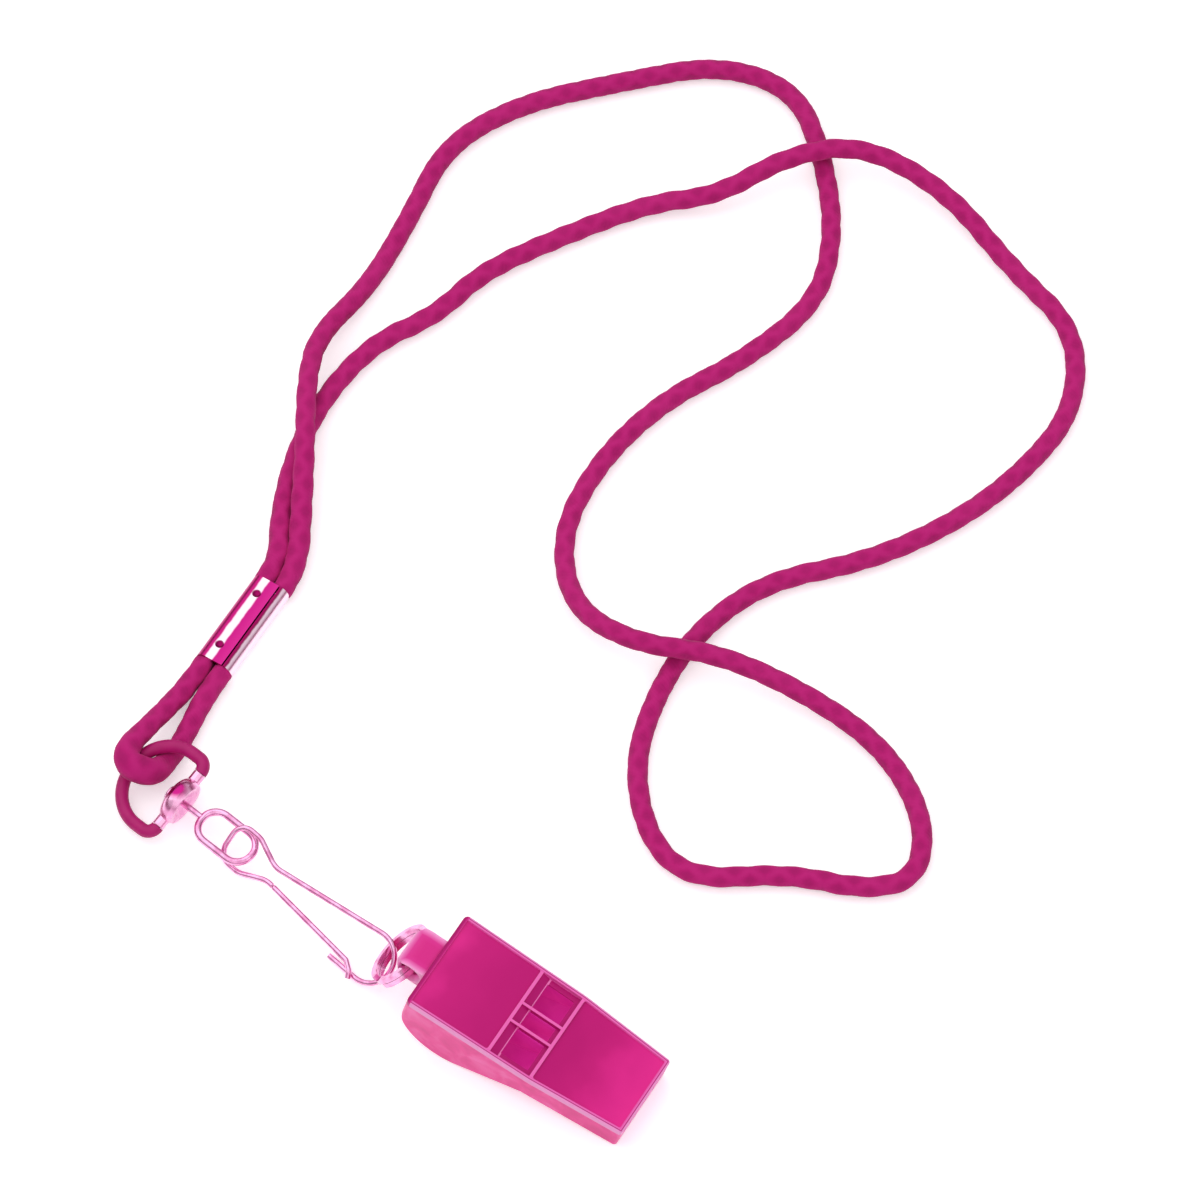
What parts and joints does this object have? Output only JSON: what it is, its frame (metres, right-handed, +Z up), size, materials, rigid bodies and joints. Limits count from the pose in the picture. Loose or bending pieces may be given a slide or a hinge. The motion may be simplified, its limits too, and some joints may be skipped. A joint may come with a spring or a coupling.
{
  "type": "sports whistle on a lanyard",
  "caption": "Pealess sports whistle with a split ring, wire snap hook and swivel on a braided neck cord closed by a crimp.",
  "frame": {"origin": "on the table, under the middle of the box round the whistle and its metal chain", "axes": "+X from the whistle's back to its mouthpiece, +Z up from the table, +Y towards the neck loop"},
  "size_m": [0.1801, 0.2386, 0.0178],
  "materials": {
    "shell_plastic": "gloss, slightly clear",
    "cover_plastic": "gloss, slightly clear",
    "plated_wire": "bright plating",
    "plated_sheet": "bright plating",
    "coated_rod": "satin coating",
    "braided_cord": "round braid"
  },
  "bodies": {
    "whistle": {"whistle_lower_shell": "shell_plastic", "whistle_top_cover": "cover_plastic"},
    "ring": {"split_ring": "plated_wire"},
    "hook": {"snap_hook": "plated_wire"},
    "gate": {"snap_hook_gate": "plated_wire"},
    "eye": {"swivel_eye": "plated_wire"},
    "hub": {"swivel_hub": "plated_sheet"},
    "bow": {"swivel_bow": "coated_rod"},
    "lanyard": {"neck_loop_cord": "braided_cord", "bow_loop_cord": "braided_cord", "cord_crimp": "plated_sheet"}
  },
  "joints": [
    {"name": "ring_swing", "type": "hinge", "parent": "whistle", "child": "ring", "pos_m": [0.012, -0.00361, 0.01459], "axis": [0, 1, 0], "range_deg": [-30, 90]},
    {"name": "hook_swing", "type": "hinge", "parent": "ring", "child": "hook", "pos_m": [0.00346, -0.00361, 0.00391], "axis": [0, 1, 0], "range_deg": [-8, 20]},
    {"name": "gate_open", "type": "hinge", "parent": "hook", "child": "gate", "pos_m": [-0.02482, -0.00162, 0.00282], "axis": [-0.1172, -0.576, 0.809], "range_deg": [0, 12], "stiffness_Nm_per_rad": 0.02},
    {"name": "eye_swing", "type": "hinge", "parent": "hook", "child": "eye", "pos_m": [-0.03668, 0.00223, 0.004], "axis": [0.1219, 0.9925, 0], "range_deg": [-20, 12]},
    {"name": "swivel_turn", "type": "hinge", "parent": "eye", "child": "hub", "pos_m": [-0.0519, 0.0041, 0.0054], "axis": [0.9884, -0.1214, -0.0911], "continuous": true},
    {"name": "bow_swing", "type": "hinge", "parent": "hub", "child": "bow", "pos_m": [-0.0519, 0.0041, 0.0054], "axis": [0.1421, 0.951, 0.2745], "range_deg": [-60, 60]},
    {"name": "lanyard_swing", "type": "hinge", "parent": "bow", "child": "lanyard", "pos_m": [-0.06311, 0.01044, 0.00528], "axis": [0.5518, 0.7801, 0.295], "range_deg": [-8, 6]}
  ]
}
